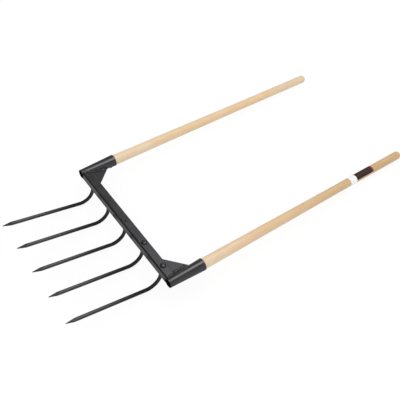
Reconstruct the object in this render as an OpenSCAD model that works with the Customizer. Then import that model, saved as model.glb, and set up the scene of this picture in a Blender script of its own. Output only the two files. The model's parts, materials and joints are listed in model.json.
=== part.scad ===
// Broadfork: five bent steel tines riveted through an angle-section crossbar, with a conical socket welded
// to each end of the bar and a long wooden handle in each socket.
// The fork is drawn flat on its crossbar first (X along the bar, Y towards the handle ends, Z up out of the
// bar's top face) and is then tipped back until it lies on its tine bends and its handle ends.

/* [Crossbar] */
// Distance between the centre lines of the two sockets
socket_spacing = 522; // [480:1:580]
// Depth of the bar's top leg, from front to back
bar_depth = 30; // [27:1:40]
// Height of the bar's front leg
bar_height = 23; // [18:1:32]
// Thickness of the bar's two legs
bar_t = 4; // [3:0.5:5]
// Inner radius of the bend between the two legs
bar_inner_r = 2; // [1:0.5:4]

/* [Tines] */
// Number of tines
tine_count = 5; // [3:1:5]
// Distance from one tine to the next
tine_pitch = 103; // [85:1:108]
// Diameter of the tine bar
tine_d = 12; // [10:0.5:14]
// Distance of the upright shank behind the bar's front face
tine_setback = 16; // [14:0.5:19]
// Depth below the bar's top at which the bend starts
tine_drop = 50; // [30:1:80]
// Radius of the bend, on the centre line
tine_bend_r = 43; // [30:1:60]
// Angle by which the tines rise towards their tips
tine_rise = 3.3; // [0:0.1:12]
// Length of the straight run from the bend to the tip
tine_length = 273; // [200:1:340]
// Length of the four flats that form the point
point_length = 42; // [25:1:60]
// Width of the blunt tip
point_tip_w = 1.6; // [1:0.1:4]
// Diameter of the tenon that passes through the bar
tenon_d = 9; // [7:0.5:9.5]
// Diameter of the peened head
head_d = 17.5; // [15:0.5:20]
// Height of the peened head
head_h = 4; // [3:0.5:7]

/* [Sockets] */
// Outer diameter of the small, open front end
socket_front_d = 30; // [27:0.5:34]
// Outer diameter of the mouth that takes the handle
socket_mouth_d = 40.5; // [38:0.5:46]
// Length of the socket along its axis
socket_length = 127.5; // [115:0.5:160]
// Wall thickness of the socket
socket_wall = 2; // [1.5:0.1:3]
// Angle of the sockets above the plane of the bar
socket_tilt = 9; // [4:0.5:14]
// Height of the socket's top above the bar's top, at the bar's front face
socket_stand = 0.7; // [0.3:0.1:2]
// Width of the rolled seam along the underside of the socket
socket_seam_w = 1.2; // [0.8:0.1:3]

/* [Gussets] */
// Length of the gusset along the bar, from the socket's centre line
gusset_foot = 77; // [55:1:100]
// Angle between the gusset's free edge and the bar
gusset_angle = 47; // [35:1:50]
// Thickness of the gusset plate
gusset_t = 4; // [3:0.5:5]

/* [Handles] */
// Length of the wooden handle, with the part in the socket
handle_length = 1011; // [880:1:1300]
// Distance of the handle's inner end behind the socket's front end
handle_setback = 25; // [15:0.5:40]
// Length of the long taper that starts at the socket's mouth
taper_length = 540; // [400:1:640]
// Diameter at the end of the long taper
waist_d = 30.4; // [30:0.1:33]
// Diameter of the grip
grip_d = 30; // [28:0.5:30]
// Length of the straight grip before the rounded end
grip_length = 125; // [90:1:150]
// Radius of the rounded end
end_round = 13.5; // [5:0.5:13.5]
// Chamfer on the end inside the socket
seat_chamfer = 3; // [1:0.5:6]

/* [Fixings and welds] */
// Radius of the weld beads along the sockets
bead_r = 5; // [3:0.5:6]
// Radius of the weld bead under the joint of bar and gusset
seam_bead_r = 3.5; // [2:0.5:4]
// Diameter of the screw that holds each handle
screw_d = 4.5; // [3:0.5:6]
// Length of the screw's shank below its head
screw_length = 18; // [12:1:24]
// Diameter of the screw's head
screw_head_d = 9; // [7:0.5:12]
// Height of the screw's head
screw_head_h = 2.6; // [2:0.1:4]
// Distance of the screw from the socket's mouth
screw_inset = 18; // [10:1:40]
// Angle of the screw from the seam, towards the bar
screw_turn = 35; // [20:1:60]

/* [Label] */
// Distance of the label's near edge from the end of the handle
label_from_end = 269; // [240:1:300]
// Length of the band that goes all the way round
label_band_length = 30; // [20:1:60]
// Length of the panel beyond the band
label_panel_length = 85; // [40:1:100]
// Angle that the panel goes round the handle
label_panel_wrap = 216; // [120:1:300]
// Angle of the panel's outer edge from the top of the handle
label_panel_edge = 66; // [30:1:90]
// Thickness of the label
label_t = 0.25; // [0.15:0.05:0.5]

/* [Hidden] */
$fn = 96;
// Space left between pieces that fit into, onto or along each other
fit_gap = 0.15;
// Overrun of every cut past the face that it opens
overrun = 5;

bar_outer_r = bar_inner_r + bar_t;
socket_x = socket_spacing / 2;
socket_axis_z = socket_stand - socket_front_d / 2;
gusset_x = socket_x - gusset_foot;
gusset_y = bar_depth + fit_gap;
tine_r = tine_d / 2;
grip_r = grip_d / 2;

// Stations along the handle's axis, from the socket's front end
handle_end = handle_setback + handle_length;
waist_at = socket_length + taper_length;
grip_end = handle_end - end_round;
grip_start = grip_end - grip_length;
label_at = handle_end - label_from_end;
panel_at = label_at + label_band_length + fit_gap;

// Outer radius of the socket at a station along its axis
function socket_r(s) =
    (socket_front_d + (socket_mouth_d - socket_front_d) * s / socket_length) / 2;

// Radius of the handle where it fills the socket
function seat_r(s) = socket_r(s) - socket_wall - fit_gap;

handle_profile = [
    [handle_setback + seat_chamfer, seat_r(handle_setback + seat_chamfer)],
    [socket_length, seat_r(socket_length)],
    [waist_at, waist_d / 2],
    [grip_start, grip_r],
    [grip_end, grip_r]
];

// Radius of the handle outside the socket
function handle_r(s) = lookup(s, handle_profile);

// Distance from the middle of the bar at which the plane of the bar's top meets a socket
function junction_x(y) =
    let (s = y * cos(socket_tilt) - socket_axis_z * sin(socket_tilt))
    let (rise = -socket_axis_z * cos(socket_tilt) - y * sin(socket_tilt))
    socket_x - sqrt(socket_r(s) ^ 2 - rise ^ 2);

// Place along the socket at which the gusset's free edge meets it
function gusset_end_y(y, steps) =
    steps == 0 ? y
    : gusset_end_y(gusset_y + (junction_x(y) - gusset_x) * tan(gusset_angle), steps - 1);
gusset_solver_steps = 8;
gusset_back_y = gusset_end_y(gusset_y, gusset_solver_steps);

// The lying pose: the angle at which the tine bends and the rounded handle ends touch one plane
bend_y = tine_setback - tine_bend_r;
bend_z = -tine_drop;
bend_outer_r = tine_bend_r + tine_r;
round_s = handle_end - end_round;
round_y = round_s * cos(socket_tilt) + (grip_r - end_round) * sin(socket_tilt);
round_z = socket_axis_z + round_s * sin(socket_tilt) - (grip_r - end_round) * cos(socket_tilt);
support_span = norm([round_y - bend_y, round_z - bend_z]);
rest_angle = atan2(round_z - bend_z, round_y - bend_y) + asin((bend_outer_r - end_round) / support_span);

// Height and length of a point of the flat fork once it is tipped back
function lying_z(y, z) = z * cos(rest_angle) - y * sin(rest_angle);
function lying_y(y, z) = y * cos(rest_angle) + z * sin(rest_angle);

floor_z = lying_z(bend_y, bend_z) - bend_outer_r;
handle_slope = rest_angle - socket_tilt;
back_y = lying_y(0, socket_axis_z) + round_s * cos(handle_slope)
    + (grip_r - end_round) * sin(handle_slope) + end_round;
tip_y = bend_y - tine_bend_r * sin(tine_rise) - tine_length * cos(tine_rise);
tip_z = bend_z - tine_bend_r * cos(tine_rise) + tine_length * sin(tine_rise);
front_y = lying_y(tip_y, tip_z) - point_tip_w / 2 * sin(tine_rise + rest_angle);
middle_y = (front_y + back_y) / 2;

paint = "#3b3c3e";
weld_paint = "#454648";
wood = "#dcc096";
screw_steel = "#6f7072";
label_white = "#f2f1ee";
label_dark = "#2c2523";

TINES = [for (i = [1 : tine_count]) str("tine_", i)];

// Tips the flat fork back onto its tine bends and handle ends, with the middle of its footprint at the origin
module lying() {
    translate([0, -middle_y, -floor_z])
        rotate([-rest_angle, 0, 0])
            children();
}

// Draws a right-hand piece on the right (side 1) or mirrored on the left (side -1)
module on_side(side) {
    if (side > 0)
        children();
    else
        mirror([1, 0, 0])
            children();
}

// Frame of the right socket: Z runs along its axis from the front end, Y points down, out of its underside
module socket_frame() {
    translate([socket_x, 0, socket_axis_z])
        rotate([socket_tilt - 90, 0, 0])
            children();
}

// The solid cone that a socket fills, larger all round by a gap, and longer than it at both ends
module socket_blank(gap) {
    slope = (socket_mouth_d - socket_front_d) / 2 / socket_length;
    socket_frame()
        translate([0, 0, -overrun])
            cylinder(
                h = socket_length + 2 * overrun,
                r1 = socket_r(0) + gap - slope * overrun,
                r2 = socket_r(socket_length) + gap + slope * overrun
            );
}

// Section of the angle bar: X is depth from the front face, Y is height from the top face
module bar_section() {
    difference() {
        union() {
            translate([bar_outer_r, -bar_t])
                square([bar_depth - bar_outer_r, bar_t]);
            translate([0, -bar_height])
                square([bar_t, bar_height - bar_outer_r]);
            translate([bar_outer_r, -bar_outer_r])
                intersection() {
                    circle(bar_outer_r);
                    translate([-bar_outer_r, 0])
                        square(bar_outer_r);
                }
        }
        translate([bar_outer_r, -bar_outer_r])
            circle(bar_inner_r);
    }
}

// The angle bar, coped to the cones at both ends and drilled for the tenons
module crossbar() {
    color(paint) lying() difference() {
        rotate([90, 0, 90])
            linear_extrude(socket_spacing, center = true)
                bar_section();
        socket_blank(fit_gap);
        mirror([1, 0, 0])
            socket_blank(fit_gap);
        for (i = [1 : tine_count])
            translate([tine_x(i), tine_setback, -bar_t - overrun])
                cylinder(h = bar_t + 2 * overrun, d = tenon_d + 2 * fit_gap);
    }
}

function tine_x(i) = (i - (tine_count + 1) / 2) * tine_pitch;

// One tine: peened head and tenon, shouldered shank, bend, and a straight run that ends in a point
module tine(i) {
    color(paint) lying() translate([tine_x(i), tine_setback, 0]) {
        peened_head();
        translate([0, 0, -bar_t])
            cylinder(h = bar_t, d = tenon_d);
        translate([0, 0, -tine_drop])
            cylinder(h = tine_drop - bar_t, d = tine_d);
        bend_frame() {
            tine_bend();
            rotate([0, 0, 90 + tine_rise])
                translate([tine_bend_r, 0, 0])
                    rotate([-90, 0, 0])
                        pointed_bar();
        }
    }
}

// Frame of a tine's bend: the bend turns about Z, from the shank at X towards Y, which points down
module bend_frame() {
    translate([0, -tine_bend_r, -tine_drop])
        rotate([0, -90, 0])
            rotate([0, 0, 90])
                children();
}

// Domed head, a cap of a sphere that sits on the bar
module peened_head() {
    dome_r = (head_d ^ 2 / 4 + head_h ^ 2) / (2 * head_h);
    intersection() {
        translate([0, 0, head_h - dome_r])
            sphere(dome_r);
        translate([-head_d, -head_d, 0])
            cube([2 * head_d, 2 * head_d, 2 * head_h]);
    }
}

// Quarter bend, carried on by the rise of the tine
module tine_bend() {
    rotate_extrude(angle = 90 + tine_rise)
        translate([tine_bend_r, 0])
            circle(tine_r);
}

// Straight round bar along Z with four flats that run out to a blunt tip
module pointed_bar() {
    flat_slope = atan2(tine_r - point_tip_w / 2, point_length);
    difference() {
        cylinder(h = tine_length, r = tine_r);
        for (turn = [0 : 90 : 270])
            rotate([0, 0, turn])
                translate([tine_r, -tine_d, tine_length - point_length])
                    rotate([0, -flat_slope, 0])
                        cube([tine_d, 2 * tine_d, 2 * point_length]);
    }
}

// Conical ferrule rolled from plate, open at both ends, with the roll's seam along its underside
module socket(side) {
    color(paint) lying() on_side(side) socket_frame() difference() {
        cylinder(h = socket_length, r1 = socket_r(0), r2 = socket_r(socket_length));
        socket_bore();
        translate([-socket_seam_w / 2, 0, -overrun])
            cube([socket_seam_w, socket_mouth_d, socket_length + 2 * overrun]);
        screw_axis()
            cylinder(h = socket_mouth_d, d = screw_d + 2 * fit_gap);
    }
}

// The cone inside a socket, carried past both ends
module socket_bore() {
    slope = (socket_mouth_d - socket_front_d) / 2 / socket_length;
    translate([0, 0, -overrun])
        cylinder(
            h = socket_length + 2 * overrun,
            r1 = socket_r(0) - socket_wall - slope * overrun,
            r2 = socket_r(socket_length) - socket_wall + slope * overrun
        );
}

// Frame of the handle screw inside the socket's frame: Z points outwards from the socket's axis
module screw_axis() {
    translate([0, 0, socket_length - screw_inset])
        rotate([0, 0, screw_turn])
            rotate([-90, 0, 0])
                children();
}

// Triangular corner plate, flush with the bar's top and cut to the socket's cone
module gusset(side) {
    color(paint) lying() on_side(side) difference() {
        translate([0, 0, -gusset_t])
            linear_extrude(gusset_t)
                polygon([
                    [gusset_x, gusset_y],
                    [socket_x, gusset_y],
                    [socket_x, gusset_y + gusset_foot * tan(gusset_angle)]
                ]);
        socket_blank(fit_gap);
    }
}

// Weld bead of radius r between two points of one height, with round ends
module bead(from, to, r) {
    run = to - from;
    translate(from)
        rotate([0, 90, atan2(run.y, run.x)])
            rotate_extrude()
                bead_half_section(norm(run), r);
}

// Half section of a bead: X is its radius, Y its length, with a quarter circle past each end
module bead_half_section(length, r) {
    square([r, length]);
    for (end = [0, length])
        translate([0, end])
            intersection() {
                circle(r);
                translate([0, -r])
                    square([r, 2 * r]);
            }
}

// Fillet bead between the top of a plate and the socket, from one place along the socket to another
module socket_weld(side, from_y, to_y) {
    color(weld_paint) lying() on_side(side) difference() {
        bead([junction_x(from_y), from_y, 0], [junction_x(to_y), to_y, 0], bead_r);
        translate([0, -overrun, -2 * bead_r])
            cube([socket_x + socket_mouth_d, socket_length + 2 * overrun, 2 * bead_r]);
        socket_blank(fit_gap);
    }
}

module weld_bar(side) {
    socket_weld(side, bead_r, bar_depth - bead_r);
}

module weld_gusset(side) {
    socket_weld(side, gusset_y + bead_r, gusset_back_y - bead_r);
}

// Bead under the butt joint between the bar's back edge and the gusset
module weld_seam(side) {
    under_z = -min(bar_t, gusset_t);
    seam_y = (bar_depth + gusset_y) / 2;
    color(weld_paint) lying() on_side(side) difference() {
        bead([gusset_x + 2 * seam_bead_r, seam_y, under_z], [socket_x, seam_y, under_z], seam_bead_r);
        translate([0, 0, -bar_t])
            cube([socket_x + socket_mouth_d, seam_y, bar_t + seam_bead_r]);
        translate([0, seam_y, -gusset_t])
            cube([socket_x + socket_mouth_d, bar_depth, gusset_t + seam_bead_r]);
        socket_blank(fit_gap);
    }
}

// Turned handle: a seat that fills the socket's cone, a long taper, a straight grip and a rounded end
module handle(side) {
    color(wood) lying() on_side(side) socket_frame() difference() {
        rotate_extrude()
            handle_half_section();
        screw_axis()
            cylinder(h = socket_mouth_d, d = screw_d + 2 * fit_gap);
    }
}

// Half section of the handle: X is its radius, Y its axis
module handle_half_section() {
    polygon(concat(
        [[0, handle_setback], [handle_profile[0].y - seat_chamfer, handle_setback]],
        [for (point = handle_profile) [point.y, point.x]],
        [[0, grip_end]]
    ));
    translate([0, grip_end])
        square([grip_r - end_round, end_round]);
    translate([grip_r - end_round, grip_end])
        intersection() {
            circle(end_round);
            square(end_round);
        }
}

// Screw with a low domed head that sits on the outside of the socket
module handle_screw(side) {
    head_seat = socket_r(socket_length - screw_inset) + fit_gap;
    dome_r = (screw_head_d ^ 2 / 4 + screw_head_h ^ 2) / (2 * screw_head_h);
    color(screw_steel) lying() on_side(side) socket_frame() screw_axis() {
        translate([0, 0, head_seat - screw_length])
            cylinder(h = screw_length, d = screw_d);
        translate([0, 0, head_seat])
            intersection() {
                translate([0, 0, screw_head_h - dome_r])
                    sphere(dome_r);
                translate([-screw_head_d, -screw_head_d, 0])
                    cube([2 * screw_head_d, 2 * screw_head_d, 2 * screw_head_h]);
            }
    }
}

// Thin sleeve that follows the handle from one station to another, over part of its girth
module label_sleeve(from_s, to_s, wrap) {
    inner_from = handle_r(from_s) + fit_gap;
    inner_to = handle_r(to_s) + fit_gap;
    rotate_extrude(angle = wrap)
        polygon([
            [inner_from, from_s],
            [inner_from + label_t, from_s],
            [inner_to + label_t, to_s],
            [inner_to, to_s]
        ]);
}

module label_band() {
    color(label_white) lying() socket_frame()
        label_sleeve(label_at, label_at + label_band_length, 360);
}

// The panel starts at its outer edge, measured from the top of the handle, and goes over the top
module label_panel() {
    color(label_dark) lying() socket_frame()
        rotate([0, 0, label_panel_edge - 90 - label_panel_wrap])
            label_sleeve(panel_at, panel_at + label_panel_length, label_panel_wrap);
}

crossbar();
for (i = [1 : tine_count]) tine(i);
socket(-1);  // socket_left
socket(1);  // socket_right
gusset(-1);  // gusset_left
gusset(1);  // gusset_right
weld_bar(-1);  // weld_bar_left
weld_bar(1);  // weld_bar_right
weld_gusset(-1);  // weld_gusset_left
weld_gusset(1);  // weld_gusset_right
weld_seam(-1);  // weld_seam_left
weld_seam(1);  // weld_seam_right
handle(-1);  // handle_left
handle(1);  // handle_right
handle_screw(-1);  // handle_screw_left
handle_screw(1);  // handle_screw_right
label_band();
label_panel();
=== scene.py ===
import json
import math

import bmesh
import bpy
from mathutils import Matrix, Vector


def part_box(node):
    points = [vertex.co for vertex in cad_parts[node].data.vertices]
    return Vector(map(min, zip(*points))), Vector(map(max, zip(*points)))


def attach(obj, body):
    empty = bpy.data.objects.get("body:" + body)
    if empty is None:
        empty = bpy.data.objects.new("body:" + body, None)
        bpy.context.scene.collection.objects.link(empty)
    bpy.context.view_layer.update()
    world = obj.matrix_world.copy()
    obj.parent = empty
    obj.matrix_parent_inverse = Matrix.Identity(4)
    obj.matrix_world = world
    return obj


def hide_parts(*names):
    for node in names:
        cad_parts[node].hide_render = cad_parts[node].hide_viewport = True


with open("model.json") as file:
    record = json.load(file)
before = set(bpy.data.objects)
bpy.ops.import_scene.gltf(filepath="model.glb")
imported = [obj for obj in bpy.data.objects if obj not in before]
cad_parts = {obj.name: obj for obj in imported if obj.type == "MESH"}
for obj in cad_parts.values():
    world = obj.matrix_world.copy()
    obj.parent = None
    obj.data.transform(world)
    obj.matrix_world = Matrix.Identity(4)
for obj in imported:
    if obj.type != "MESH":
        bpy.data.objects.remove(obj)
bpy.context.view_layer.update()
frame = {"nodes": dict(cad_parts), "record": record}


# Crossbar
# A length of mild steel angle, cut round to fit the sockets at both ends and painted satin black.
# Its corner is rolled round. Its cut edges are broken with a file, and the paint is thinner there.
bar_depth = 0.030
bar_height = 0.023
bar_t = 0.004
bar_inner_r = 0.002
bar_bend_r = bar_inner_r + bar_t
bar_side_points = 16
filed_r = 0.0007
corner_steps = 8
into_socket = 0.0006

# The sockets' cones, which the ends of the bar and the gussets are cut to fit
socket_x = 0.261
socket_axis_z = -0.0143
socket_tilt = math.radians(9.0)
socket_front_r = 0.015
socket_mouth_r = 0.02025
socket_length = 0.1275
gusset_back_y = 0.0925

# The black paint, with the fineness of its patterns as waves to a metre
paint_tones = (0.0080, 0.0080, 0.0086, 1.0), (0.0175, 0.0175, 0.0188, 1.0)
paint_sheen = (0.955, 0.945, 1.0, 1.0)
paint_ior = 1.6
paint_relief = 0.0006
cloud_waves = 26.0
peel_waves = 430.0
forge_waves = 130.0
dust_waves = 1700.0
along_bar = (14.0, 520.0, 520.0)
frame_dullness = 0.31
frame_lumps = 0.08

# What the paint suffers: the file at the edges and the heat of the welds; and painted shade in grooves
# Bare steel at filed edges, and also the painted highlight on the highest weld lumps
bare_edge_and_glint = (0.060, 0.058, 0.056, 1.0)
chip_waves = 240.0
matt_ior = 1.48
burnt_dullness = 0.48
burnt_lumps = 0.40
burn_waves = 150.0
scorch_w = 0.004
scorch_spread = 0.20
scorch_fade = 1.0, 0.3
# Painted shade: a near-black matt coat, laid where a piece marks it
painted_shade_tones = (0.0035, 0.0033, 0.0032, 1.0), (0.0110, 0.0100, 0.0090, 1.0)
painted_shade_dullness = 0.80
painted_shade_ior = 1.2
painted_shade_waves = 600.0

# The fork lies tipped back: the grips' axis gives the tilt, and the bar's lowest corner gives the place
grip_axis = Vector(frame["record"]["mounts"][0]["axis"])
handle_slope = math.atan2(-grip_axis.z, grip_axis.y)
rest_tilt = handle_slope + socket_tilt
bar_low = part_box("crossbar")[0]
bar_place = (
    0.0,
    bar_low[1] + bar_height * math.sin(rest_tilt),
    bar_low[2] + bar_height * math.cos(rest_tilt) + bar_t * math.sin(rest_tilt),
)
lying = Matrix.Translation(bar_place) @ Matrix.Rotation(-rest_tilt, 4, "X")


class Wire:
    """One socket of a node tree. Sums and products of wires add the Math nodes that work them out."""

    def __init__(self, tree, socket=None):
        self.tree = tree
        self.socket = socket

    def node(self, kind, settings=None, sockets=None, output=0):
        """Adds a node, sets it up, gives its sockets their values or links, and returns one output."""
        made = self.tree.nodes.new(kind)
        for name, value in (settings or {}).items():
            setattr(made, name, value)
        for name, value in (sockets or {}).items():
            for one in value if isinstance(value, list) else [value]:
                if isinstance(one, Wire):
                    self.tree.links.new(one.socket, made.inputs[name])
                else:
                    made.inputs[name].default_value = one
        return Wire(self.tree, made.outputs[output] if made.outputs else None)

    def other(self, output):
        """Another output of the same node."""
        return Wire(self.tree, self.socket.node.outputs[output])

    def math(self, operation, *others):
        return self.node("ShaderNodeMath", {"operation": operation}, dict(enumerate((self, *others))))

    def __add__(self, value):
        return self.math("ADD", value)

    def __sub__(self, value):
        return self.math("SUBTRACT", value)

    def __rsub__(self, value):
        return self.node("ShaderNodeMath", {"operation": "SUBTRACT"}, {0: value, 1: self})

    def __mul__(self, value):
        return self.math("MULTIPLY", value)

    def __truediv__(self, value):
        return self.math("DIVIDE", value)

    __radd__ = __add__
    __rmul__ = __mul__

    def vector(self, operation, *others):
        settings = {"operation": operation}
        return self.node("ShaderNodeVectorMath", settings, dict(enumerate((self, *others))))

    def scaled(self, factor):
        return self.node("ShaderNodeVectorMath", {"operation": "SCALE"}, {0: self, "Scale": factor})

    def axis(self, name):
        """One of the three parts of a vector. The two others are other outputs of it."""
        return self.node("ShaderNodeSeparateXYZ", None, {0: self}, output=name)

    def ease(self, low, high):
        """0 below low and 1 above high, with a soft step between them."""
        return self.node(
            "ShaderNodeMapRange",
            {"interpolation_type": "SMOOTHSTEP"},
            {"Value": self, "From Min": low, "From Max": high},
        )

    def tint(self, first, second):
        """A colour that goes from the first to the second as this wire goes from 0 to 1."""
        # Sockets 6 and 7 of a Mix node are its colours, and output 2 is their mix
        sockets = {0: self, 6: first, 7: second}
        return self.node("ShaderNodeMix", {"data_type": "RGBA"}, sockets, output=2)

    def mixed(self, first, second):
        """A coat that goes from the first to the second as this wire goes from 0 to 1."""
        return self.node("ShaderNodeMixShader", None, {0: self, 1: first, 2: second})

    def stretched(self, scale, turn=(0.0, 0.0, 0.0)):
        """A place on the piece, turned and then stretched, for a pattern that runs one way."""
        return self.node("ShaderNodeMapping", None, {"Vector": self, "Rotation": turn, "Scale": scale})

    def noise(self, scale, detail=2.0):
        return self.node("ShaderNodeTexNoise", None, {"Vector": self, "Scale": scale, "Detail": detail})

    def bumps(self, strength, depth):
        """Shading directions of a surface that has this wire as its height."""
        heights = {"Strength": strength, "Distance": depth, "Height": self}
        return self.node("ShaderNodeBump", None, heights)

    def mark(self, name):
        """What a piece stores on its points under a name, read in a finish."""
        return self.node("ShaderNodeAttribute", {"attribute_name": name}, output="Fac")

    def surface(self, sockets):
        return self.node("ShaderNodeBsdfPrincipled", None, sockets)

    def cover(self):
        """Ends a finish: this coat is what shows."""
        self.node("ShaderNodeOutputMaterial", None, {"Surface": self})


def new_finish(name):
    """An empty material, and the wire that gives places on the piece."""
    finish = bpy.data.materials.new(name)
    finish.use_nodes = True
    finish.node_tree.nodes.clear()
    return finish, Wire(finish.node_tree).node("ShaderNodeTexCoord", output="Object")


def brushed_coat(at, dullness, lumps, ior, strokes, tones, worn=""):
    """Brushed black paint: cloudy gloss, orange peel, strokes, dust, and lumps of the steel below."""
    clouds = at.noise(cloud_waves, 3.0)
    peel = at.noise(peel_waves, 2.0)
    forge = at.noise(forge_waves, 3.0)
    streaks = at.stretched(strokes).noise(1.0, 3.0)
    scuffs = streaks.ease(0.64, 0.74)
    dust = at.noise(dust_waves, 1.0).ease(0.68, 0.78)
    colour = (clouds.ease(0.3, 0.7) * 0.7 + dust * 0.4 + scuffs * 0.5).tint(*tones)
    if worn:
        chips = at.mark(worn) * at.noise(chip_waves, 4.0).ease(0.45, 0.66)
        colour = chips.tint(colour, bare_edge_and_glint)
    rough = dullness + (clouds - 0.5) * 0.20 + (forge - 0.5) * 0.10 + scuffs * 0.10 + dust * 0.10
    relief = peel * 0.08 + forge * lumps + streaks * 0.10
    return at.surface(
        {
            "Base Color": colour,
            "Roughness": rough,
            "Normal": relief.bumps(0.6, paint_relief),
            "IOR": ior,
            "Specular Tint": paint_sheen,
        }
    )


def painted(
    name, dullness, lumps, strokes, ior=paint_ior, tones=paint_tones, worn="", shade_mark="", scorched=None
):
    """The black paint as a finish, burnt dull by the welds, with painted shade where a piece marks it.
    """
    finish, at = new_finish(name)
    coat = brushed_coat(at, dullness, lumps, ior, strokes, tones, worn)
    if scorched:
        burnt = brushed_coat(at, burnt_dullness, burnt_lumps, matt_ior, strokes, tones)
        heat = scorched(at) * at.noise(burn_waves, 3.0).ease(0.36, 0.58)
        coat = heat.mixed(coat, burnt)
    # Painted shade, mixed in as far as the piece's mark goes
    if shade_mark:
        shade_mottle = at.noise(painted_shade_waves, 3.0)
        shade_coat = at.surface(
            {
                "Base Color": shade_mottle.ease(0.3, 0.7).tint(*painted_shade_tones),
                "Roughness": painted_shade_dullness + (shade_mottle - 0.5) * 0.3,
                "IOR": painted_shade_ior,
            }
        )
        coat = at.mark(shade_mark).mixed(coat, shade_coat)
    coat.cover()
    return finish


def by_joint(at):
    """How hot the paint on the plates was, by the welds along the sockets."""
    across = at.axis("X")
    along = (across.other("Y") - bar_place[1]) / math.cos(rest_tilt)
    away = joint_x + along * joint_lean - across.math("ABSOLUTE")
    return (away / (along * scorch_spread + scorch_w)).ease(*scorch_fade)


def socket_r(s):
    """Outer radius of a socket at a distance from its front end."""
    return socket_front_r + (socket_mouth_r - socket_front_r) * s / socket_length


def coped_x(y, z):
    """Where a line along the bar, at this depth and height, meets a socket."""
    s = y * math.cos(socket_tilt) + (z - socket_axis_z) * math.sin(socket_tilt)
    rise = (z - socket_axis_z) * math.cos(socket_tilt) - y * math.sin(socket_tilt)
    return socket_x - math.sqrt(socket_r(s) ** 2 - rise ** 2)


def rounded_section(corners, side_points=0):
    """Points, outward directions and edge wear of a section that turns left at rounded corners."""
    points, ways, wear = [], [], []
    for i, (corner, r) in enumerate(corners):
        here = Vector(corner)
        next_corner, next_r = corners[(i + 1) % len(corners)]
        back = (Vector(corners[i - 1][0]) - here).normalized()
        on = (Vector(next_corner) - here).normalized()
        before, after = Vector((-back.y, back.x)), Vector((on.y, -on.x))
        for step in range(corner_steps + 1):
            turn = math.pi / 2 * step / corner_steps
            points.append(here + back * r * (1 - math.sin(turn)) + on * r * (1 - math.cos(turn)))
            ways.append((before * math.cos(turn) + after * math.sin(turn)).normalized())
            wear.append(math.sin(2 * turn) if r <= filed_r else 0.0)
        start, end = here + on * r, Vector(next_corner) - on * next_r
        for step in range(1, side_points + 1):
            points.append(start.lerp(end, step / (side_points + 1)))
            ways.append(after)
            wear.append(0.0)
    return points, ways, wear


def new_piece(name, points, faces, finish, ways=None, wear=None, shade_amount=None):
    """A smooth mesh at the origin. Shading directions, edge wear and painted shade are stored where
    given.
    """
    mesh = bpy.data.meshes.new(name)
    mesh.from_pydata(points, [], faces)
    shell = bmesh.new()
    shell.from_mesh(mesh)
    large = [face for face in shell.faces if len(face.verts) > 4]
    bmesh.ops.triangulate(shell, faces=large, ngon_method="BEAUTY")
    bmesh.ops.recalc_face_normals(shell, faces=shell.faces)
    shell.to_mesh(mesh)
    shell.free()
    mesh.polygons.foreach_set("use_smooth", [True] * len(mesh.polygons))
    mesh.materials.append(finish)
    if ways:
        mesh.normals_split_custom_set_from_vertices(ways)
    for mark, amounts in (("filed_edge", wear), ("groove", shade_amount)):
        if amounts:
            mesh.attributes.new(mark, "FLOAT", "POINT").data.foreach_set("value", amounts)
    piece = bpy.data.objects.new(name, mesh)
    bpy.context.scene.collection.objects.link(piece)
    return piece


def bridged(rings, count):
    """Faces of a row of rings of points, and a face over each end."""
    faces = []
    for ring in range(rings - 1):
        first, second = ring * count, (ring + 1) * count
        for i in range(count):
            on = (i + 1) % count
            faces.append((first + i, first + on, second + on, second + i))
    return faces + [tuple(range(count)), tuple(range((rings - 1) * count, rings * count))]


joint_x = coped_x(0.0, 0.0)
joint_lean = (coped_x(gusset_back_y, 0.0) - joint_x) / gusset_back_y
bar_corners = [
    ((bar_depth, 0.0), filed_r),
    ((0.0, 0.0), bar_bend_r),
    ((0.0, -bar_height), filed_r),
    ((bar_t, -bar_height), filed_r),
    ((bar_t, -bar_t), bar_inner_r),
    ((bar_depth, -bar_t), filed_r),
]
section, section_ways, section_wear = rounded_section(bar_corners, bar_side_points)
bar_points, bar_ways = [], []
for side in (-1, 1):
    for (y, z), (way_y, way_z) in zip(section, section_ways):
        bar_points.append(lying @ Vector((side * (coped_x(y, z) + into_socket), y, z)))
        bar_ways.append(lying.to_3x3() @ Vector((0.0, way_y, way_z)))

frame_paint = painted(
    "frame_paint",
    frame_dullness,
    frame_lumps,
    along_bar,
    worn="filed_edge",
    shade_mark="groove",
    scorched=by_joint,
)
crossbar = new_piece(
    "crossbar_angle", bar_points, bridged(2, len(section)), frame_paint, bar_ways, section_wear * 2
)
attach(crossbar, "root")
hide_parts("crossbar")


# Tines
# Five round steel bars, bent hot, drawn out to a four-sided point and riveted over through the bar.
# The hammer leaves shallow dents. The black paint has painted shade at the bend and painted light,
# paler and glossier, towards the points.
tine_count = 5
tine_pitch = 0.103
tine_r = 0.006
tine_setback = 0.016
tine_drop = 0.050
tine_bend_r = 0.043
tine_rise = math.radians(3.3)
tine_length = 0.273
point_length = 0.042
point_tip_w = 0.0016
tenon_top = 0.001
tine_step = 0.003
tine_sides = 32
dent_depth = 0.00030
dent_softness = 0.4
dent_waves = 140.0
tine_seed = 1.7
hard_edge = math.radians(35.0)
tine_places = [(i - (tine_count - 1) / 2) * tine_pitch for i in range(tine_count)]

# Plain paint, painted light at the points, painted shade at the bend, and where along the lying fork
# each begins
along_tine = (420.0, 12.0, 420.0)
tine_dullness = 0.40
tine_lumps = 0.40
lit_tip_tones = (0.0180, 0.0180, 0.0190, 1.0), (0.0360, 0.0355, 0.0360, 1.0)
lit_tip_dullness = 0.30
lit_tip_lumps = 0.45
lit_tip_ior = 1.53
lit_tip_along = -0.43, -0.62
shaded_bend_dullness = 0.45
shaded_bend_ior = 1.25
shaded_bend_starts = -0.376, -0.398
shaded_bend_ends = -0.42, -0.55


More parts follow.
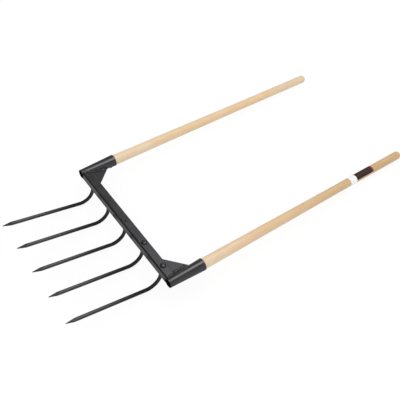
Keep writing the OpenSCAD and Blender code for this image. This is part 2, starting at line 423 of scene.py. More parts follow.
def new_tree(name, path, numbers, others):
    """An empty geometry tree with its named inputs, their identifiers, and the wire of its path."""
    tree = bpy.data.node_groups.new(name, "GeometryNodeTree")
    tree.is_modifier = True
    given = {}
    for title, kind in {path: "Geometry", **dict.fromkeys(numbers, "Float"), **others}.items():
        entry = tree.interface.new_socket(title, in_out="INPUT", socket_type=f"NodeSocket{kind}")
        given[title] = entry.identifier
    tree.interface.new_socket("Piece", in_out="OUTPUT", socket_type="NodeSocketGeometry")
    return tree, given, Wire(tree).node("NodeGroupInput", output=path)


def marked(shape, title, value, kind="FLOAT"):
    """A shape that keeps a value on its points under a name."""
    return shape.node(
        "GeometryNodeStoreNamedAttribute",
        {"data_type": kind},
        {"Geometry": shape, "Name": title, "Value": value},
    )


def hammer_blows(inputs, waves):
    """How the hammer fell over a shape, from about -1 to 1, by the tree's own seed."""
    settings = {"noise_dimensions": "4D"}
    blows = {"W": inputs.other("Seed"), "Scale": waves, "Detail": 1.0}
    return (inputs.node("ShaderNodeTexNoise", settings, blows) - 0.5) * 2.0


def swept(line, sides, r):
    """A round bar along a line, closed at both ends."""
    ring = line.node("GeometryNodeCurvePrimitiveCircle", None, {"Resolution": sides, "Radius": r})
    run = {"Curve": line, "Profile Curve": ring, "Fill Caps": True}
    return line.node("GeometryNodeCurveToMesh", None, run)


def moved(shape, position):
    """A shape with each point put at a position."""
    return shape.node("GeometryNodeSetPosition", None, {"Geometry": shape, "Position": position})


def pushed(shape, height):
    """A shape with its surface moved outwards by a height."""
    push = shape.node("GeometryNodeInputNormal").scaled(height)
    return shape.node("GeometryNodeSetPosition", None, {"Geometry": shape, "Offset": push})


def finished(shape, finish):
    """Ends a geometry tree: real faces, smooth but for hard edges, with their material."""
    shape = shape.node("GeometryNodeRealizeInstances", None, {"Geometry": shape})
    shape = shape.node("GeometryNodeSetShadeSmooth", None, {"Geometry": shape})
    hard = shape.node("GeometryNodeInputMeshEdgeAngle").math("GREATER_THAN", hard_edge)
    shape = shape.node(
        "GeometryNodeSetShadeSmooth",
        {"domain": "EDGE"},
        {"Geometry": shape, "Selection": hard, "Shade Smooth": False},
    )
    shape = shape.node("GeometryNodeSetMaterial", None, {"Geometry": shape, "Material": finish})
    shape.node("NodeGroupOutput", None, {"Piece": shape})


def grown(name, path, tree, given, values, place=lying):
    """Runs a geometry tree on a path, and puts the plain mesh that it makes in its place."""
    line = bpy.data.meshes.new(name)
    line.from_pydata(path, [(i, i + 1) for i in range(len(path) - 1)], [])
    piece = bpy.data.objects.new(name, line)
    bpy.context.scene.collection.objects.link(piece)
    growth = piece.modifiers.new("growth", "NODES")
    growth.node_group = tree
    for title, value in values.items():
        growth[given[title]] = value
    shown = piece.evaluated_get(bpy.context.evaluated_depsgraph_get())
    piece.data = bpy.data.meshes.new_from_object(shown)
    piece.modifiers.remove(growth)
    piece.data.transform(place)
    return piece


def steps(first, last, step):
    """Evenly spaced values from first to last, about a step apart."""
    count = max(1, round(abs(last - first) / step))
    return [first + (last - first) * i / count for i in range(count + 1)]


def tine_path(x):
    """Points along a tine's middle, from inside its rivet head, round the bend and out to the tip."""
    line = [(x, tine_setback, z) for z in steps(tenon_top, -tine_drop, tine_step)]
    middle_y = tine_setback - tine_bend_r
    for turn in steps(0.0, math.pi / 2 + tine_rise, tine_step / tine_bend_r)[1:]:
        bend_y = middle_y + tine_bend_r * math.cos(turn)
        bend_z = -tine_drop - tine_bend_r * math.sin(turn)
        line.append((x, bend_y, bend_z))
    for run in steps(0.0, tine_length, tine_step)[1:]:
        line.append((x, bend_y - run * math.cos(tine_rise), bend_z + run * math.sin(tine_rise)))
    return line


def tine_tree(finish):
    """Nodes that draw a hammered bar along a path and flatten its end to a four-sided point."""
    tree, given, path = new_tree(
        "forged_tine",
        "Path",
        ("Bar radius", "Point length", "Tip width", "Dent depth", "Seed"),
        {},
    )
    bar_radius = path.other("Bar radius")
    place = path.node("GeometryNodeInputPosition")
    line = path.node("GeometryNodeMeshToCurve", None, {"Mesh": path})
    run = path.node("GeometryNodeCurveLength", None, {"Curve": line})
    to_tip = run - path.node("GeometryNodeSplineParameter", output="Length")
    line = marked(line, "middle", place, "FLOAT_VECTOR")
    line = marked(line, "to_tip", to_tip)
    bar = swept(line, tine_sides, bar_radius)

    kept = "GeometryNodeInputNamedAttribute"
    middle = path.node(kept, {"data_type": "FLOAT_VECTOR"}, {"Name": "middle"})
    left = path.node(kept, {"data_type": "FLOAT"}, {"Name": "to_tip"})
    out = place.vector("SUBTRACT", middle)
    across = out.axis("X")
    out_y, out_z = across.other("Y"), across.other("Z")
    upright = (out_y * out_y + out_z * out_z).math("SQRT")
    half_tip = path.other("Tip width") * 0.5
    flat = half_tip + left * (bar_radius - half_tip) / path.other("Point length")
    drawn = (flat / across.math("ABSOLUTE").math("MAXIMUM", upright)).math("MINIMUM", 1.0)
    bar = moved(bar, middle.vector("ADD", out.scaled(drawn)))
    for title in ("middle", "to_tip"):
        bar = path.node("GeometryNodeRemoveAttribute", None, {"Geometry": bar, "Name": title})

    dents = hammer_blows(path, dent_waves).math("SMOOTH_MIN", 0.0, dent_softness)
    finished(pushed(bar, dents * path.other("Dent depth")), finish)
    return tree, given


tine_paint, at = new_finish("tine_paint")
reach = at.axis("Y")
whole = brushed_coat(at, tine_dullness, tine_lumps, matt_ior, along_tine, paint_tones)
lit_tips = brushed_coat(at, lit_tip_dullness, lit_tip_lumps, lit_tip_ior, along_tine, lit_tip_tones)
shaded_bend = brushed_coat(at, shaded_bend_dullness, tine_lumps, shaded_bend_ior, along_tine, paint_tones)
# Painted light towards the points, painted shade at the bend
coat = reach.ease(*lit_tip_along).mixed(whole, lit_tips)
coat = (reach.ease(*shaded_bend_starts) * (1 - reach.ease(*shaded_bend_ends))).mixed(coat, shaded_bend)
coat.cover()
forged_tine, tine_inputs = tine_tree(tine_paint)
for i, tine_x in enumerate(tine_places):
    tine = grown(
        f"forged_tine_{i + 1}",
        tine_path(tine_x),
        forged_tine,
        tine_inputs,
        {
            "Bar radius": tine_r,
            "Point length": point_length,
            "Tip width": point_tip_w,
            "Dent depth": dent_depth,
            "Seed": i * tine_seed,
        },
    )
    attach(tine, "root")
    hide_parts(f"tine_{i + 1}")


# Rivet heads
# The tops of the tines, hammered over into low buttons that hold them to the bar.
# The blows raise a lip of steel and paint round each one. The first three from the left are smaller.
# Painted shade darkens the groove inside each lip, and the whole of the second head
head_profile = (
    (0.0, 0.00310),
    (0.0024, 0.00308),
    (0.0042, 0.00296),
    (0.0053, 0.00265),
    (0.0061, 0.00215),
    (0.0067, 0.00145),
    (0.0071, 0.00070),
    (0.0073, 0.00010),
    (0.0084, 0.00010),
    (0.0088, 0.00060),
    (0.0094, 0.00080),
    (0.0100, 0.00050),
    (0.0106, -0.00030),
    (0.0, -0.00030),
)
head_sizes = ((0.50, 0.60), (0.45, 0.12), (0.65, 0.85), (1.0, 1.0), (1.0, 1.0))
# Where painted shade lies on each head: the middle radius of its ring and the ring's width
shade_ring_r = (0.0078, 0.0, 0.0078, 0.0078, 0.0078)
shade_ring_w = (0.0030, 0.0120, 0.0024, 0.0018, 0.0018)
shade_ring_full = 0.6
head_dents = 0.00012
head_dent_waves = 320.0
head_seed = 2.3
turned_sides = 48
touching = 1e-6


def turned(profile, rows):
    """A grid rolled round the Z axis into the solid that a profile sweeps, a row for each point."""
    size = {"Size X": 1.0, "Size Y": 1.0, "Vertices X": turned_sides + 1, "Vertices Y": rows}
    grid = profile.node("GeometryNodeMeshGrid", None, size)
    place = profile.node("GeometryNodeInputPosition")
    turn = place.axis("X")
    row = ((turn.other("Y") + 0.5) * (rows - 1.0) + 0.5).math("FLOOR")
    spot = profile.node(
        "GeometryNodeSampleIndex",
        {"data_type": "FLOAT_VECTOR"},
        {"Geometry": profile, "Value": place, "Index": row},
    )
    spun = profile.node(
        "ShaderNodeVectorRotate",
        {"rotation_type": "Z_AXIS"},
        {"Vector": spot, "Angle": turn * (2 * math.pi)},
    )
    shell = {"Geometry": moved(grid, spun), "Distance": touching}
    return profile.node("GeometryNodeMergeByDistance", None, shell)


def rivet_tree(finish):
    """Nodes that turn a beaten head, mark painted shade in its groove, size it, place it and dent it.
    """
    tree, given, profile = new_tree(
        "rivet_head",
        "Profile",
        ("Shade ring radius", "Shade ring width", "Dent depth", "Seed"),
        {"Rows": "Int", "Size": "Vector", "Place": "Vector"},
    )
    head = turned(profile, profile.other("Rows"))
    place = profile.node("GeometryNodeInputPosition")
    x = place.axis("X")
    y = x.other("Y")
    off_shade_ring = ((x * x + y * y).math("SQRT") - profile.other("Shade ring radius")).math("ABSOLUTE")
    shade_amount = (1.0 - off_shade_ring / profile.other("Shade ring width")).ease(0.0, shade_ring_full)
    head = marked(head, "groove", shade_amount)
    spread = place.vector("MULTIPLY", profile.other("Size")).vector("ADD", profile.other("Place"))
    dents = hammer_blows(profile, head_dent_waves)
    finished(pushed(moved(head, spread), dents * profile.other("Dent depth")), finish)
    return tree, given


rivet_head, rivet_inputs = rivet_tree(frame_paint)
for i, (wide, high) in enumerate(head_sizes):
    head = grown(
        f"rivet_head_{i + 1}",
        [(r, 0.0, z) for r, z in head_profile],
        rivet_head,
        rivet_inputs,
        {
            "Rows": len(head_profile),
            "Size": (wide, wide, high),
            "Place": (tine_places[i], tine_setback, 0.0),
            "Shade ring radius": shade_ring_r[i],
            "Shade ring width": shade_ring_w[i],
            "Dent depth": head_dents,
            "Seed": i * head_seed,
        },
    )
    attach(head, "root")


# Sockets
# Cones rolled from steel plate until the edges nearly meet underneath, and left open at the front.
# They are welded over the ends of the bar and painted with it. The paint is burnt by the weld at the
# front, and painted shade darkens the cut front face and the bore.
socket_wall = 0.0020
socket_seam_w = 0.0012
seam_shut = 0.2
seam_run = 0.08
socket_rim_r = 0.0005
socket_flare_r = 0.0014
socket_sides = 96
both_sides = ((-1, "left"), (1, "right"))
middle_w = 0.01
socket_frame = Matrix.Translation((socket_x, 0.0, socket_axis_z)) @ Matrix.Rotation(
    socket_tilt - math.pi / 2, 4, "X"
)

along_socket = (260.0, 7.0, 260.0)
# The sockets' coat is a lighter copy of the bar's paint: painted light on their sides
socket_lit_tones = (0.0190, 0.0190, 0.0200, 1.0), (0.0285, 0.0285, 0.0300, 1.0)
socket_dullness = 0.21
socket_lumps = 0.08
socket_ior = 1.57
front_hot = 0.006
front_cool = 0.026
right_heat = 0.4


def seam_w(s):
    """Width of the rolled seam: nearly shut at the front, fully open from some way behind it."""
    return socket_seam_w * (seam_shut + (1 - seam_shut) * max(0.0, min(1.0, s / seam_run)))


def laid(side, matrix, spot):
    """A point or a direction of a right-hand piece, kept there (1) or mirrored to the left (-1)."""
    x, y, z = matrix @ Vector(spot)
    return Vector((side * x, y, z))


def at_front(at):
    """How hot the paint on a socket was, by the weld at its front end. The right one was cooler."""
    across = at.axis("X")
    station = across.other("Y") - bar_place[1]
    on_left = across.ease(middle_w, -middle_w)
    return station.ease(front_cool, front_hot) * (on_left * (1 - right_heat) + right_heat)


socket_corners = [
    ((0.0, socket_front_r), socket_rim_r),
    ((0.0, socket_front_r - socket_wall), socket_flare_r),
    ((socket_length, socket_mouth_r - socket_wall), socket_rim_r),
    ((socket_length, socket_mouth_r), socket_rim_r),
]
section, section_ways, section_wear = rounded_section(socket_corners)
# Painted shade on the cut front face and in the bore
section_shade = [min(1.0, max(0.0, -way_s) + max(0.0, -way_r)) for way_s, way_r in section_ways]
socket_paint = painted(
    "socket_paint",
    socket_dullness,
    socket_lumps,
    along_socket,
    ior=socket_ior,
    tones=socket_lit_tones,
    worn="filed_edge",
    shade_mark="groove",
    scorched=at_front,
)
for side, end in both_sides:
    points, ways = [], []
    for k in range(socket_sides + 1):
        for (s, r), (way_s, way_r) in zip(section, section_ways):
            gap = math.asin(seam_w(s) / 2 / r)
            turn = math.pi / 2 + gap + (2 * math.pi - 2 * gap) * k / socket_sides
            round_x, round_y = math.cos(turn), math.sin(turn)
            points.append(lying @ laid(side, socket_frame, (r * round_x, r * round_y, s)))
            way = (way_r * round_x, way_r * round_y, way_s)
            ways.append(lying.to_3x3() @ laid(side, socket_frame.to_3x3(), way))
    socket = new_piece(
        f"rolled_socket_{end}",
        points,
        bridged(socket_sides + 1, len(section)),
        socket_paint,
        ways,
        section_wear * (socket_sides + 1),
        section_shade * (socket_sides + 1),
    )
    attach(socket, "root")
    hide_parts(f"socket_{end}")


# Gussets
# Three-cornered plates of the bar's own thickness, butted against its back edge, flush with it on top.
# They brace the sockets, and their free edge is broken with a file.
gusset_foot = 0.077
gusset_x = socket_x - gusset_foot
gusset_gap = 0.00015
gusset_y = bar_depth + gusset_gap
gusset_angle = math.radians(47.0)
gusset_t = 0.004
gusset_steps = 24
gusset_solver_steps = 8


def gusset_outline(inset, z):
    """Corners of the plate at one height, drawn in by an amount, with the way that each side faces."""
    drop = inset / math.cos(gusset_angle)
    near_y = gusset_y + inset
    back_y = near_y
    for _ in range(gusset_solver_steps):
        back_y = gusset_y + (coped_x(back_y, z) - gusset_x) * math.tan(gusset_angle) - drop
    free_way = (-math.sin(gusset_angle), math.cos(gusset_angle))
    outline = [((gusset_x + (inset + drop) / math.tan(gusset_angle), near_y), free_way)]
    for y in steps(near_y, back_y, (back_y - near_y) / gusset_steps):
        outline.append(((coped_x(y, z) + into_socket, y), (0.0, -1.0) if y == near_y else (1.0, 0.0)))
    outline[-1] = (outline[-1][0], free_way)
    return outline


gusset_points, gusset_ways, gusset_wear = [], [], []
rim_turns = steps(0.0, math.pi / 2, math.pi / 2 / corner_steps)
for face_z, up, turns in ((0.0, 1, rim_turns), (-gusset_t, -1, rim_turns[::-1])):
    for turn in turns:
        z = face_z - up * filed_r * (1 - math.cos(turn))
        for (x, y), (out_x, out_y) in gusset_outline(filed_r * (1 - math.sin(turn)), z):
            gusset_points.append((x, y, z))
            gusset_ways.append((out_x * math.sin(turn), out_y * math.sin(turn), up * math.cos(turn)))
            gusset_wear.append(math.sin(2 * turn))
for side, end in both_sides:
    gusset = new_piece(
        f"corner_gusset_{end}",
        [lying @ laid(side, Matrix(), point) for point in gusset_points],
        bridged(2 * len(rim_turns), gusset_steps + 2),
        frame_paint,
        [lying.to_3x3() @ laid(side, Matrix(), way) for way in gusset_ways],
        gusset_wear,
    )
    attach(gusset, "root")
    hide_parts(f"gusset_{end}")


# Weld beads
# Runs of weld metal between the sockets and the plates, and under the joint of bar and gusset.
# Each is a row of overlapping puddles, uneven as a hand weld is, under black paint. Painted shade lies
# in the hollows, and the highest lumps are paler, rubbed there and with a painted highlight.
bead_r = 0.0050
seam_bead_r = 0.0035
bead_step = 0.002
bar_weld_out = 0.0025
weld_out = 0.0045
weld_across = 1.35
weld_stop = 0.016
ripple_share = 0.60
ripple_spread = 0.35
puddle_sides = 24
puddle_rings = 16
puddle_height = 0.85
puddle_length = 0.55
weld_seed = 5

# The lumps of each side's beads: how fine, in waves to a metre, and how high against the bead's radius
bead_lumps = {"left": (170.0, 1.0), "right": (260.0, 0.22)}
lump_detail = 1.5
# Painted shade in the hollows between lumps; on the highest lumps, rubbed paint with a painted
# highlight
pit_from = 0.0, -0.10
pit_shade = 0.2
rubbed_and_glint_from = 0.02, 0.10

weld_tones = (0.0200, 0.0200, 0.0210, 1.0), (0.0400, 0.0400, 0.0410, 1.0)
weld_dullness = 0.36
weld_lumps = 0.30
weld_ior = 1.60


def weld_tree(finish):
    """Nodes that lay a row of puddles along a path, and mark their painted shade and their paler tops.
    """
    tree, given, path = new_tree(
        "weld_ripples",
        "Path",
        ("Bead radius", "Width", "Ripple pitch", "Spread", "Lump waves", "Unevenness"),
        {"Seed": "Int"},
    )
    bead_radius = path.other("Bead radius")
    line = path.node("GeometryNodeMeshToCurve", None, {"Mesh": path})
    line = path.node("GeometryNodeSetCurveNormal", {"mode": "Z_UP"}, {"Curve": line})
    spacing = {"Curve": line, "Length": path.other("Ripple pitch")}
    spots = path.node("GeometryNodeCurveToPoints", {"mode": "LENGTH"}, spacing)
    ball = path.node(
        "GeometryNodeMeshUVSphere",
        None,
        {"Segments": puddle_sides, "Rings": puddle_rings, "Radius": bead_radius},
    )
    shape = path.node(
        "ShaderNodeCombineXYZ", None, {"X": path.other("Width"), "Y": puddle_height, "Z": puddle_length}
    )
    puddle = path.node("GeometryNodeTransform", None, {"Geometry": ball, "Scale": shape})
    # Sockets 2 and 3 are the least and the most, and output 1 is the number drawn
    size = path.node(
        "FunctionNodeRandomValue",
        {"data_type": "FLOAT"},
        {2: 1.0 - path.other("Spread"), 3: 1.0, "Seed": path.other("Seed")},
        output=1,
    )
    row = path.node(
        "GeometryNodeInstanceOnPoints",
        None,
        {"Points": spots, "Instance": puddle, "Rotation": spots.other("Rotation"), "Scale": size},
    )
    bead = path.node("GeometryNodeRealizeInstances", None, {"Geometry": row})
    noise = {"Scale": path.other("Lump waves"), "Detail": lump_detail}
    lumps = path.node("ShaderNodeTexNoise", None, noise) - 0.5
    # Painted shade where the bead is lowest, and a painted highlight with rubbing where it is highest
    bead = marked(bead, "groove", lumps.ease(*pit_from) * pit_shade)
    bead = marked(bead, "rubbed_top", lumps.ease(*rubbed_and_glint_from))
    finished(pushed(bead, lumps * bead_radius * path.other("Unevenness")), finish)
    return tree, given


weld_paint = painted(
    "weld_paint",
    weld_dullness,
    weld_lumps,
    along_bar,
    ior=weld_ior,
    tones=weld_tones,
    worn="rubbed_top",
    shade_mark="groove",
)
weld_ripples, weld_inputs = weld_tree(weld_paint)
on_bar = steps(bead_r, bar_depth - bead_step, bead_step)
on_gusset = steps(gusset_y + bead_step, gusset_back_y - weld_stop, bead_step)
under = steps(gusset_x + 2 * seam_bead_r, coped_x(bar_depth, -bar_t), bead_step)
weld_runs = (
    ("weld_bar", [(coped_x(y, 0.0) - bar_weld_out, y, 0.0) for y in on_bar], bead_r, 1.0),
    ("weld_gusset", [(coped_x(y, 0.0) - weld_out, y, 0.0) for y in on_gusset], bead_r, weld_across),
    ("weld_seam", [(x, bar_depth, -bar_t) for x in under], seam_bead_r, 1.0),
)
for side, end in both_sides:
    lump_waves, unevenness = bead_lumps[end]
    for name, run, r, across in weld_runs:
        weld = grown(
            f"{name}_{end}_ripples",
            [(side * x, y, z) for x, y, z in run],
            weld_ripples,
            weld_inputs,
            {
                "Bead radius": r,
                "Width": across,
                "Ripple pitch": r * ripple_share,
                "Spread": ripple_spread,
                "Lump waves": lump_waves,
                "Unevenness": unevenness,
                "Seed": weld_seed + side + len(run),
            },
        )
        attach(weld, "root")
        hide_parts(f"{name}_{end}")


# Handles
# Long beech handles, turned with a slow taper to a straight grip and a rounded end, sanded and lightly
# varnished. Each is driven into its socket's cone, so the wood fills the mouth.
handle_length = 1.011
handle_setback = 0.025
handle_end = handle_setback + handle_length
taper_length = 0.540
waist_at = socket_length + taper_length
waist_r = 0.0152
grip_r = 0.015
grip_length = 0.125
end_round = 0.0135
grip_end = handle_end - end_round
wood_gap = 0.00015
handle_stations = [
    (handle_setback, socket_r(handle_setback) - socket_wall - wood_gap),
    (socket_length, socket_mouth_r - socket_wall - wood_gap),
    (waist_at, waist_r),
    (grip_end - grip_length, grip_r),
    (grip_end, grip_r),
]
handle_sides = 72
handle_step = 0.012
round_steps = 12

# The wood's colours, and the stations along a handle where one goes over to another
wood_pale = (0.840, 0.705, 0.520, 1.0)
wood_honey_shaded = (0.755, 0.510, 0.265, 1.0)
wood_pink = (0.790, 0.545, 0.360, 1.0)
wood_straw = (0.745, 0.590, 0.335, 1.0)
wood_tan_shaded = (0.570, 0.360, 0.152, 1.0)
wood_rose = (0.715, 0.565, 0.425, 1.0)
wood_dark = (0.480, 0.300, 0.155, 1.0)
wood_end = (0.520, 0.310, 0.180, 1.0)
# Going darker along a handle is the wood's own colour and painted shade together
honey_shade_along = 0.05, 0.45
rose_along = 0.82, 0.92
tan_shade_along = 0.20, 0.95
end_grain_depth = 0.009
end_grain_along = handle_end - end_grain_depth, handle_end

# The grain: growth rings, and patterns as waves to a metre across, along and down through the wood
ring_pitch = 0.0024
ring_sway = 16.0
pith_below = 0.047
sway_waves = (14.0, 2.6, 14.0)
fleck_waves = (1500.0, 95.0, 1500.0)
fibre_waves = (900.0, 20.0, 900.0)
patch_waves = (55.0, 16.0, 55.0)
blush_waves = (60.0, 13.0, 60.0)
blush_turn = (0.0, 0.0, 0.9)
straw_waves = (70.0, 18.0, 70.0)
straw_turn = (0.0, 0.9, 0.2)
grain_relief = 0.0002
wood_dullness = 0.46
wood_ior = 1.46
wood_nap = 0.30
nap_dullness = 0.6

# Places along a handle are read in a frame that is turned level with it
level = Matrix.Rotation(handle_slope, 4, "X")
level_turn = (handle_slope, 0.0, 0.0)
unstretched = (1.0, 1.0, 1.0)
socket_front = level @ lying @ Vector((socket_x, 0.0, socket_axis_z))


def handle_outline():
    """Stations along the handle with the radius at each, from inside the socket to the rounded end."""
    line = []
    for (from_s, from_r), (to_s, to_r) in zip(handle_stations, handle_stations[1:]):
        for s in steps(from_s, to_s, handle_step)[:-1]:
            line.append((s, from_r + (to_r - from_r) * (s - from_s) / (to_s - from_s)))
    last_s, last_r = handle_stations[-1]
    for turn in steps(0.0, math.pi / 2, math.pi / 2 / round_steps):
        line.append((last_s + end_round * math.sin(turn), last_r - end_round * (1 - math.cos(turn))))
    return line


def beech():
    """Pale beech: slow patches of colour, growth rings, short dark flecks, and darker end grain."""
    finish, at = new_finish("beech")
    along = at.stretched(unstretched, level_turn)
    x = along.axis("X")
    across = x.math("ABSOLUTE") - socket_x
    height = x.other("Z") - (socket_front.z - pith_below)
    station = x.other("Y") - socket_front.y
    labelled = x.ease(-middle_w, middle_w)
    sway = along.stretched(sway_waves).noise(1.0, 2.0)
    depth = (across * across + height * height).math("SQRT")
    rings = (depth * (2 * math.pi / ring_pitch) + sway * ring_sway).math("SINE")
    late_wood = (rings * 0.5 + 0.5).math("POWER", 3.0)
    flecks = along.stretched(fleck_waves).noise(1.0, 2.0).ease(0.60, 0.72)
    fibres = along.stretched(fibre_waves).noise(1.0, 3.0)
    patches = along.stretched(patch_waves).noise(1.0, 2.0).ease(0.34, 0.66)
    blush = along.stretched(blush_waves, blush_turn).noise(1.0, 2.0).ease(0.42, 0.66)
    straw = along.stretched(straw_waves, straw_turn).noise(1.0, 2.0).ease(0.46, 0.68)
    # Partly painted shade: both handles go darker and warmer outwards from the sockets, the right one
    # most
    honey_and_shade = station.ease(*honey_shade_along) * 0.78 + patches * 0.28
    rose = (1 - labelled) * station.ease(*rose_along)
    tan_and_shade = labelled * (0.10 + station.ease(*tan_shade_along) * (0.72 + patches * 0.25))
    end_grain = station.ease(*end_grain_along)

    colour = honey_and_shade.tint(wood_pale, wood_honey_shaded)
    colour = (blush * 0.55 + labelled * 0.22).tint(colour, wood_pink)
    colour = (straw * 0.55).tint(colour, wood_straw)
    colour = (rose * 0.5).tint(colour, wood_rose)
    colour = tan_and_shade.tint(colour, wood_tan_shaded)
    colour = (late_wood * 0.06 + flecks * 0.08 + (fibres - 0.42) * 0.16).tint(colour, wood_dark)
    colour = (end_grain * 0.75).tint(colour, wood_end)
    rough = wood_dullness + (fibres - 0.5) * 0.20 + (patches - 0.5) * 0.06 + end_grain * 0.12
    relief = fibres * 0.5 - flecks * 0.6 - late_wood * 0.2
    wood = at.surface(
        {
            "Base Color": colour,
            "Roughness": rough,
            "Normal": relief.bumps(0.35, grain_relief),
            "IOR": wood_ior,
            "Sheen Weight": wood_nap,
            "Sheen Roughness": nap_dullness,
        }
    )
    wood.cover()
    return finish


handle_wood = beech()
outline = handle_outline()
for side, end in both_sides:
    points = []
    for s, r in outline:
        for k in range(handle_sides):
            turn = 2 * math.pi * k / handle_sides
            points.append(lying @ laid(side, socket_frame, (r * math.cos(turn), r * math.sin(turn), s)))
    handle = new_piece(f"turned_handle_{end}", points, bridged(len(outline), handle_sides), handle_wood)
    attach(handle, "root")
    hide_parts(f"handle_{end}")


# Handle screws
# One zinc-plated wood screw through the underside of each socket keeps the handle from working loose.
# It has a low domed head with a cross recess, and its thread bites into the wood.
screw_r = 0.00225
screw_length = 0.018
screw_head_r = 0.0045
screw_head_h = 0.0026
screw_inset = 0.018
screw_turn = math.radians(35.0)
thread_pitch = 0.0018
thread_h = 0.0006
thread_stop = 0.004
thread_steps = 24
thread_sides = 3
recess_l = 0.0046
recess_w = 0.0011
recess_h = 0.0015
dome_steps = 8

zinc_tones = (0.40, 0.40, 0.41, 1.0), (0.56, 0.56, 0.55, 1.0)
zinc_dullness = 0.32
zinc_waves = 900.0
along_thread = (300.0, 2600.0, 300.0)
zinc_relief = 0.0001


def screw_tree(finish):
    """Nodes that turn a screw, cut a cross in its head and wind a thread round its shank."""
    tree, given, profile = new_tree(
        "zinc_screw",
        "Profile",
        (
            "Head height",
            "Recess length",
            "Recess width",
            "Recess depth",
            "Core radius",
            "Thread height",
            "Thread length",
            "Thread turns",
            "Thread start",
        ),
        {"Rows": "Int"},
    )
    top = profile.node("ShaderNodeCombineXYZ", None, {"Z": profile.other("Head height")})
    slots = []
    for along, across in (("X", "Y"), ("Y", "X")):
        size = profile.node(
            "ShaderNodeCombineXYZ",
            None,
            {
                along: profile.other("Recess length"),
                across: profile.other("Recess width"),
                "Z": profile.other("Recess depth") * 2.0,
            },
        )
        slot = profile.node("GeometryNodeMeshCube", None, {"Size": size})
        slot = {"Geometry": slot, "Translation": top}
        slots.append(profile.node("GeometryNodeTransform", None, slot))
    blank = turned(profile, profile.other("Rows"))
    cut = {"Mesh 1": blank, "Mesh 2": slots}
    body = profile.node("GeometryNodeMeshBoolean", {"operation": "DIFFERENCE"}, cut)
    helix = profile.node(
        "GeometryNodeCurveSpiral",
        None,
        {
            "Resolution": thread_steps,
            "Rotations": profile.other("Thread turns"),
            "Start Radius": profile.other("Core radius"),
            "End Radius": profile.other("Core radius"),
            "Height": profile.other("Thread length"),
        },
    )
    start = profile.node("ShaderNodeCombineXYZ", None, {"Z": profile.other("Thread start")})
    helix = profile.node("GeometryNodeTransform", None, {"Geometry": helix, "Translation": start})
    thread = swept(helix, thread_sides, profile.other("Thread height"))
    finished(profile.node("GeometryNodeJoinGeometry", None, {"Geometry": [body, thread]}), finish)
    return tree, given


screw_zinc, at = new_finish("screw_zinc")
grey = at.noise(zinc_waves, 3.0)
brushed = at.stretched(along_thread).noise(1.0, 2.0)
zinc = at.surface(
    {
        "Base Color": grey.ease(0.3, 0.7).tint(*zinc_tones),
        "Roughness": zinc_dullness + (grey - 0.5) * 0.3 + (brushed - 0.5) * 0.2,
        "Metallic": 1.0,
        "Normal": brushed.bumps(0.2, zinc_relief),
    }
)
zinc.cover()

dome_r = (screw_head_r ** 2 + screw_head_h ** 2) / (2 * screw_head_h)
dome_turn = math.asin(screw_head_r / dome_r)
core_r = screw_r - thread_h
thread_length = screw_length - thread_stop
screw_profile = []
for turn in steps(0.0, dome_turn, dome_turn / dome_steps):
    screw_profile.append((dome_r * math.sin(turn), 0.0, screw_head_h - dome_r * (1 - math.cos(turn))))
screw_profile += [(core_r, 0.0, 0.0), (core_r, 0.0, -thread_length), (0.0, 0.0, -screw_length)]
zinc_screw, screw_inputs = screw_tree(screw_zinc)
screw_s = socket_length - screw_inset
screw_out = (-math.sin(screw_turn), math.cos(screw_turn), 0.0)
screw_seat = Vector(screw_out) * (socket_r(screw_s) + wood_gap) + Vector((0.0, 0.0, screw_s))
for side, end in both_sides:
    spot = lying @ laid(side, socket_frame, screw_seat)
    way = lying.to_3x3() @ laid(side, socket_frame.to_3x3(), screw_out)
    screw = grown(
        f"zinc_screw_{end}",
        screw_profile,
        zinc_screw,
        screw_inputs,
        {
            "Rows": len(screw_profile),
            "Head height": screw_head_h,
            "Recess length": recess_l,
            "Recess width": recess_w,
            "Recess depth": recess_h,
            "Core radius": core_r,
            "Thread height": thread_h,
            "Thread length": thread_length,
            "Thread turns": thread_length / thread_pitch,
            "Thread start": -thread_length,
        },
        Matrix.Translation(spot) @ way.to_track_quat("Z", "Y").to_matrix().to_4x4(),
    )
    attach(screw, "root")
    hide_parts(f"handle_screw_{end}")


# Labels
# A white paper band glued round the right handle, and a dark paper panel beyond it, both blank.
# The paper is coated, with a dark red border at the panel's far end.
label_from_end = 0.269
label_band_length = 0.030
label_panel_length = 0.085
panel_at = handle_end - label_from_end + label_band_length + wood_gap
panel_end = panel_at + label_panel_length
border_w = 0.0062
border_edge = 0.0005

label_white = (0.935, 0.935, 0.925, 1.0)
label_shade = (0.865, 0.865, 0.850, 1.0)
label_dullness = 0.38
panel_dark = (0.027, 0.0115, 0.0105, 1.0)
panel_faded = (0.047, 0.023, 0.021, 1.0)
panel_red = (0.230, 0.045, 0.050, 1.0)
panel_dullness = 0.36
panel_ior = 1.25
paper_waves = 520.0
ink_waves = 70.0
paper_relief = 0.0001

label_paper, at = new_finish("label_paper")
fibre = at.noise(paper_waves, 4.0)
paper = at.surface(
    {
        "Base Color": (fibre.ease(0.4, 0.75) * 0.6).tint(label_white, label_shade),
        "Roughness": label_dullness + (fibre - 0.5) * 0.2,
        "Normal": fibre.bumps(0.15, paper_relief),
    }
)
paper.cover()
frame["nodes"]["label_band"].material_slots[0].material = label_paper

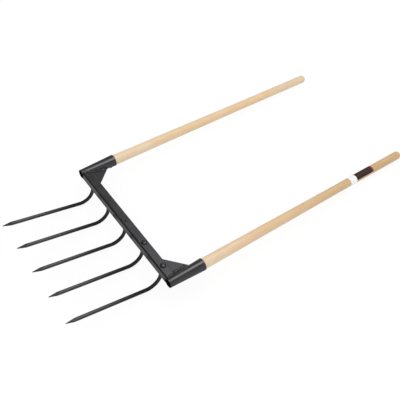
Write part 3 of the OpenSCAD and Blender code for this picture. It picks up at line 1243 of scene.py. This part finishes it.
label_print, at = new_finish("label_print")
fibre = at.noise(paper_waves, 4.0)
ink = at.noise(ink_waves, 3.0)
border_at = socket_front.y + panel_end - border_w
border = at.stretched(unstretched, level_turn).axis("Y").ease(border_at - border_edge, border_at)
ground = (ink.ease(0.35, 0.7) * 0.6 + fibre * 0.2).tint(panel_dark, panel_faded)
panel = at.surface(
    {
        "Base Color": border.tint(ground, panel_red),
        "Roughness": panel_dullness + (fibre - 0.5) * 0.2,
        "IOR": panel_ior,
        "Normal": fibre.bumps(0.15, paper_relief),
    }
)
panel.cover()
frame["nodes"]["label_panel"].material_slots[0].material = label_print


# Studio
# A white floor that keeps the fork's soft shadow, a pale tent with brighter and darker places that show
# in the paint, one softbox overhead, and a camera where the photograph was taken from.
tent_white = (1.0, 1.0, 1.0, 1.0)
tent_glow = 0.93
room_glow = 0.53

# Places of the tent: the way to each, the angles of its edge and its even middle in degrees, its glow
tent_places = (
    ((0.02, 0.86, 0.51), 42, 14, 1.22),
    ((0.90, 0.30, 0.05), 60, 25, 0.22),
    ((-0.50, -0.60, -0.63), 40, 15, 0.24),
    ((-0.52, -0.76, 0.38), 44, 22, -0.51),
    ((0.52, 0.05, 0.85), 42, 18, -0.22),
    ((-0.85, 0.35, 0.40), 36, 10, -0.24),
)
floor_half = 9.0
floor_bounce = (0.9, 0.9, 0.9, 1.0)
floor_shade = (0.12, 0.12, 0.12, 1.0)
floor_glow = 0.89
gleam_power = 10.9
fill_power = 3.2
fill_lift = 0.02
softbox_width = 1.1
softbox_depth = 0.9
softbox_place = Vector((0.0, 0.35, 1.50))
camera_place = Vector((1.03156, -0.87480, 1.61634))
camera_right = Vector((0.59055, 0.80629, 0.03380))
camera_up = Vector((-0.63993, 0.44237, 0.62834))
camera_back = Vector((0.49166, -0.39270, 0.77721))
camera_lens = 54.06
camera_sensor = 36.0


def patch(look, way, edge, core):
    """1 within the core angle of a direction in the room, and 0 beyond the edge angle."""
    ways = {0: look, 1: Vector(way).normalized()}
    near = look.node("ShaderNodeVectorMath", {"operation": "DOT_PRODUCT"}, ways, output="Value")
    return near.ease(math.cos(math.radians(edge)), math.cos(math.radians(core)))


studio = bpy.data.worlds.new("studio")
studio.use_nodes = True
studio.node_tree.nodes.clear()
bpy.context.scene.world = studio
look = Wire(studio.node_tree).node("ShaderNodeTexCoord", output="Generated")
glow = room_glow
for way, edge, core, more in tent_places:
    glow = glow + patch(look, way, edge, core) * more
seen = look.node("ShaderNodeLightPath", output="Is Camera Ray")
mirrored = seen.other("Is Glossy Ray")
light = mirrored * glow + (1 - mirrored) * tent_glow
strength = seen + (1 - seen) * light
sky = look.node("ShaderNodeBackground", None, {"Color": tent_white, "Strength": strength})
look.node("ShaderNodeOutputWorld", None, {"Surface": sky})

floor_paint, at = new_finish("floor_paint")
seen = at.node("ShaderNodeLightPath", output="Is Camera Ray")
bounce = at.node("ShaderNodeBsdfDiffuse", None, {"Color": floor_bounce})
shade = at.node("ShaderNodeBsdfDiffuse", None, {"Color": floor_shade})
glowing = at.node("ShaderNodeEmission", None, {"Strength": floor_glow})
white = at.node("ShaderNodeAddShader", None, {0: shade, 1: glowing})
seen.mixed(bounce, white).cover()
floor_corners = [(x * floor_half, y * floor_half, 0.0) for x, y in ((-1, -1), (1, -1), (1, 1), (-1, 1))]
floor = new_piece("floor", floor_corners, [(0, 1, 2, 3)], floor_paint)
floor.visible_glossy = False

# The softbox is two lights: one shows in the paint, and a weaker one just above it lights matt surfaces
for name, power, lift in (("gleam", gleam_power, 0.0), ("fill", fill_power, fill_lift)):
    softbox_light = bpy.data.lights.new(f"softbox_{name}", "AREA")
    softbox_light.shape = "RECTANGLE"
    softbox_light.energy = power
    softbox_light.size = softbox_width
    softbox_light.size_y = softbox_depth
    softbox = bpy.data.objects.new(f"softbox_{name}", softbox_light)
    softbox.location = softbox_place + Vector((0.0, 0.0, lift))
    softbox.visible_camera = False
    softbox.visible_diffuse = name == "fill"
    softbox.visible_glossy = name == "gleam"
    bpy.context.scene.collection.objects.link(softbox)

camera = bpy.data.objects.new("camera", bpy.data.cameras.new("camera"))
camera.data.lens = camera_lens
camera.data.sensor_width = camera_sensor
camera.matrix_world = Matrix.Translation(camera_place) @ Matrix(
    (camera_right, camera_up, camera_back)
).transposed().to_4x4()
bpy.context.scene.collection.objects.link(camera)
bpy.context.scene.camera = camera
bpy.context.scene.view_settings.view_transform = "Standard"
